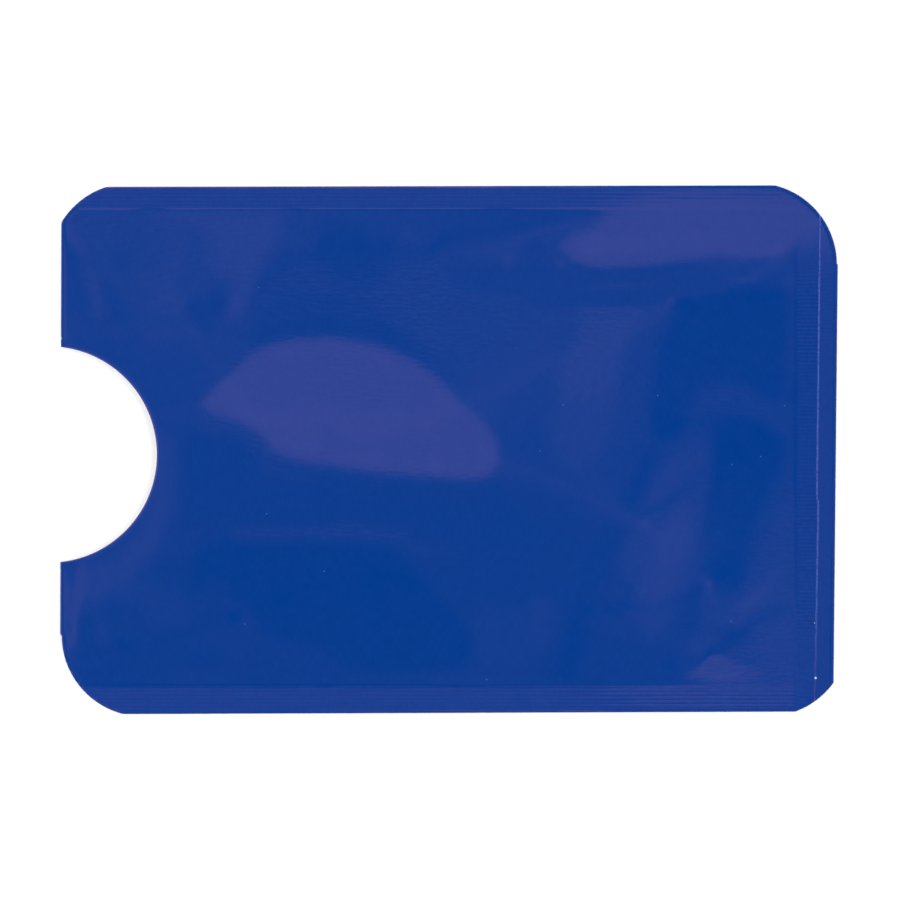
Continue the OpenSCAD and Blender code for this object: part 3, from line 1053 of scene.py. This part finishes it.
for name, slot in (("back_paper_core", "paper_core"), ("back_foil_shield", "foil_shield"),
                   ("back_seal_film", "seal_film"), ("upper_side_seal", "fused_film"),
                   ("lower_side_seal", "fused_film"), ("end_seal", "fused_film")):
    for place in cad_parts[name].material_slots:
        place.material = MATERIALS[slot]

# Table, studio and camera, in metres where a name doesn't say otherwise
TABLE_SIZE, TABLE_Z = 6, -0.00002
TABLE_COLOR, TABLE_ROUGH = (0.96, 0.96, 0.96, 1), 0.9
# Directions that rise less than this are lit as this one is
LOWEST_RISE = 0.02
IMAGE_PX = 900
SENSOR_W = 36.0
# Height of the faces at which a pixel of the photograph is PX wide, in millimetres
FACE_H = 0.5
CLIP_NEAR, CLIP_FAR = 0.05, 20

bpy.ops.mesh.primitive_plane_add(size=TABLE_SIZE, location=(0, 0, TABLE_Z))
table = bpy.context.object
table.name = "table"
table_mat, _, table_shader = new_material("table")
table_shader.inputs["Base Color"].default_value = TABLE_COLOR
table_shader.inputs["Roughness"].default_value = TABLE_ROUGH
table_shader.inputs["Specular IOR Level"].default_value = 0.0
table.data.materials.append(table_mat)


def panel_light(tree, lean, panel, power):
    """How much of a panel's light shows in a direction, as nodes."""
    mid_u, mid_v, half_u, half_v, turn, soft, _ = panel
    local = tree.nodes.new("ShaderNodeMapping")
    local.vector_type = "TEXTURE"
    local.inputs["Location"].default_value = (mid_u, mid_v, 0)
    local.inputs["Rotation"].default_value = (0, 0, np.radians(turn))
    local.inputs["Scale"].default_value = (half_u, half_v, 1)
    tree.links.new(lean, local.inputs["Vector"])
    axes = tree.nodes.new("ShaderNodeSeparateXYZ")
    tree.links.new(local.outputs[0], axes.inputs[0])
    powers = [math_node(tree, "POWER", math_node(tree, "ABSOLUTE", axes.outputs[k]), power)
              for k in (0, 1)]
    away = math_node(tree, "POWER", math_node(tree, "ADD", *powers), 1 / power)
    return soft_step(tree, away, 1 + soft / 2, 1 - soft / 2)


def build_studio():
    """The studio's light all round, as sky gives it, and dimmer at the horizon."""
    world = bpy.data.worlds.new("studio")
    bpy.context.scene.world = world
    world.use_nodes = True
    tree = world.node_tree
    background = tree.nodes["Background"]
    background.inputs["Color"].default_value = (1, 1, 1, 1)
    towards = tree.nodes.new("ShaderNodeTexCoord").outputs["Generated"]
    parts = tree.nodes.new("ShaderNodeSeparateXYZ")
    tree.links.new(towards, parts.inputs[0])
    rise = math_node(tree, "MAXIMUM", parts.outputs[2], LOWEST_RISE)
    lean = tree.nodes.new("ShaderNodeCombineXYZ")
    for k in (0, 1):
        tree.links.new(math_node(tree, "DIVIDE", parts.outputs[k], rise), lean.inputs[k])
    light = SKY_BASE
    for panel in PANELS + (SOFTBOX,):
        power = SOFTBOX_POWER if panel is SOFTBOX else PANEL_POWER
        mask = panel_light(tree, lean.outputs[0], panel, power)
        light = blend_light(tree, light, panel[-1], mask)
    length = tree.nodes.new("ShaderNodeVectorMath")
    length.operation = "LENGTH"
    tree.links.new(lean.outputs[0], length.inputs[0])
    for start, end, level in ((DOME_FROM, DOME_TO, DOME_LIGHT),
                              (HORIZON_FROM, HORIZON_TO, HORIZON_LIGHT)):
        far = soft_step(tree, length.outputs["Value"], start, end)
        light = blend_light(tree, light, level, far)
    tree.links.new(light, background.inputs["Strength"])


build_studio()

camera_data = bpy.data.cameras.new("camera")
camera = bpy.data.objects.new("camera", camera_data)
bpy.context.scene.collection.objects.link(camera)
look_x, look_y = from_px(IMAGE_PX / 2, IMAGE_PX / 2)
camera.location = (look_x * MM, look_y * MM, CAMERA_H * MM)
camera_data.sensor_width = SENSOR_W
camera_data.lens = SENSOR_W * (CAMERA_H - FACE_H) / (IMAGE_PX * PX)
camera_data.clip_start = CLIP_NEAR
camera_data.clip_end = CLIP_FAR
bpy.context.scene.camera = camera
bpy.context.scene.view_settings.view_transform = "Standard"
